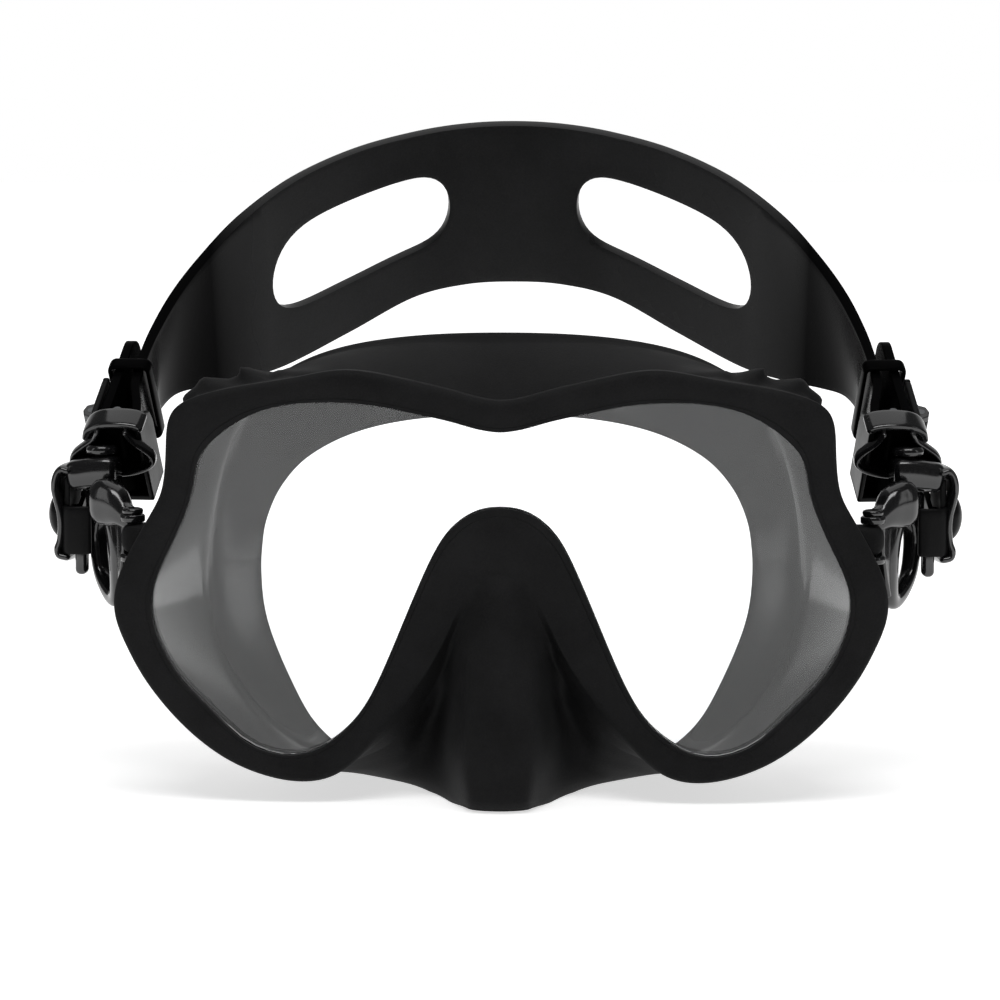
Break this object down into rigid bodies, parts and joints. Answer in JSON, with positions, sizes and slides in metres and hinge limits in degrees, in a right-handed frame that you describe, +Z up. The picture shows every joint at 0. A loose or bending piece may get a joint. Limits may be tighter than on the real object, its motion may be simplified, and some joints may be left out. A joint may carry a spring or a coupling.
{
  "type": "diving mask",
  "caption": "Frameless diving mask with a one-piece curved glass outline, a soft black nose pocket and skirt, a split head strap and swivelling quick-adjust buckles.",
  "frame": {"origin": "centre of the bounding box at the surface the mask stands on", "axes": "+X to the wearer's left, +Y from the glass towards the back of the head, +Z up"},
  "size_m": [0.2004, 0.147, 0.1437],
  "materials": {
    "silicone_skirt": "matte",
    "silicone_strap": "matte",
    "clear_glass": "clear",
    "inner_plastic": "satin",
    "gloss_black": "gloss",
    "steel_pin": "satin"
  },
  "bodies": {
    "mask": {"skirt": "silicone_skirt", "lens": "clear_glass", "subframe": "inner_plastic", "strap": "silicone_strap", "strap_side_l": "silicone_strap", "arm_l": "gloss_black", "anchor_pin_l": "gloss_black", "swivel_pin_l": "gloss_black", "strap_side_r": "silicone_strap", "arm_r": "gloss_black", "anchor_pin_r": "gloss_black", "swivel_pin_r": "gloss_black"},
    "buckle_l": {"buckle_l": "gloss_black", "cover_l": "gloss_black", "strap_end_l": "silicone_strap", "keeper_l": "silicone_strap", "roller_pin_l": "steel_pin", "pawl_pin_l": "steel_pin", "button_spring_l": "steel_pin"},
    "roller_l": {"roller_l": "inner_plastic"},
    "pawl_l": {"pawl_l": "inner_plastic"},
    "button_l": {"button_l": "gloss_black"},
    "buckle_r": {"buckle_r": "gloss_black", "cover_r": "gloss_black", "strap_end_r": "silicone_strap", "keeper_r": "silicone_strap", "roller_pin_r": "steel_pin", "pawl_pin_r": "steel_pin", "button_spring_r": "steel_pin"},
    "roller_r": {"roller_r": "inner_plastic"},
    "pawl_r": {"pawl_r": "inner_plastic"},
    "button_r": {"button_r": "gloss_black"}
  },
  "joints": [
    {"name": "buckle_swivel_l", "type": "hinge", "parent": "mask", "child": "buckle_l", "pos_m": [0.0882, -0.02806, 0.0676], "axis": [0, 0, 1], "range_deg": [-14, 8], "deforming": ["strap_side_l"]},
    {"name": "roller_spin_l", "type": "hinge", "parent": "buckle_l", "child": "roller_l", "pos_m": [0.08413, -0.01959, 0.072], "axis": [0.0897, -0.5665, 0.8192], "continuous": true},
    {"name": "button_press_l", "type": "slide", "parent": "buckle_l", "child": "button_l", "axis": [-0.9877, -0.1564, 0], "range_m": [0, 0.0012], "stiffness_N_per_m": 400, "springref_m": -0.001, "deforming": ["button_spring_l"]},
    {"name": "pawl_lift_l", "type": "hinge", "parent": "buckle_l", "child": "pawl_l", "pos_m": [0.09105, -0.01476, 0.07458], "axis": [0.0897, -0.5665, 0.8192], "range_deg": [-4, 0]},
    {"name": "buckle_swivel_r", "type": "hinge", "parent": "mask", "child": "buckle_r", "pos_m": [-0.0882, -0.02806, 0.0676], "axis": [0, 0, -1], "range_deg": [-14, 8], "deforming": ["strap_side_r"]},
    {"name": "roller_spin_r", "type": "hinge", "parent": "buckle_r", "child": "roller_r", "pos_m": [-0.08413, -0.01959, 0.072], "axis": [0.0897, 0.5665, -0.8192], "continuous": true},
    {"name": "button_press_r", "type": "slide", "parent": "buckle_r", "child": "button_r", "axis": [0.9877, -0.1564, 0], "range_m": [0, 0.0012], "stiffness_N_per_m": 400, "springref_m": -0.001, "deforming": ["button_spring_r"]},
    {"name": "pawl_lift_r", "type": "hinge", "parent": "buckle_r", "child": "pawl_r", "pos_m": [-0.09105, -0.01476, 0.07458], "axis": [0.0897, 0.5665, -0.8192], "range_deg": [-4, 0]}
  ],
  "couplings": [
    {"joint": "pawl_lift_l", "follows": "button_press_l", "rad_per_m": -56.18},
    {"joint": "pawl_lift_r", "follows": "button_press_r", "rad_per_m": -56.18}
  ]
}
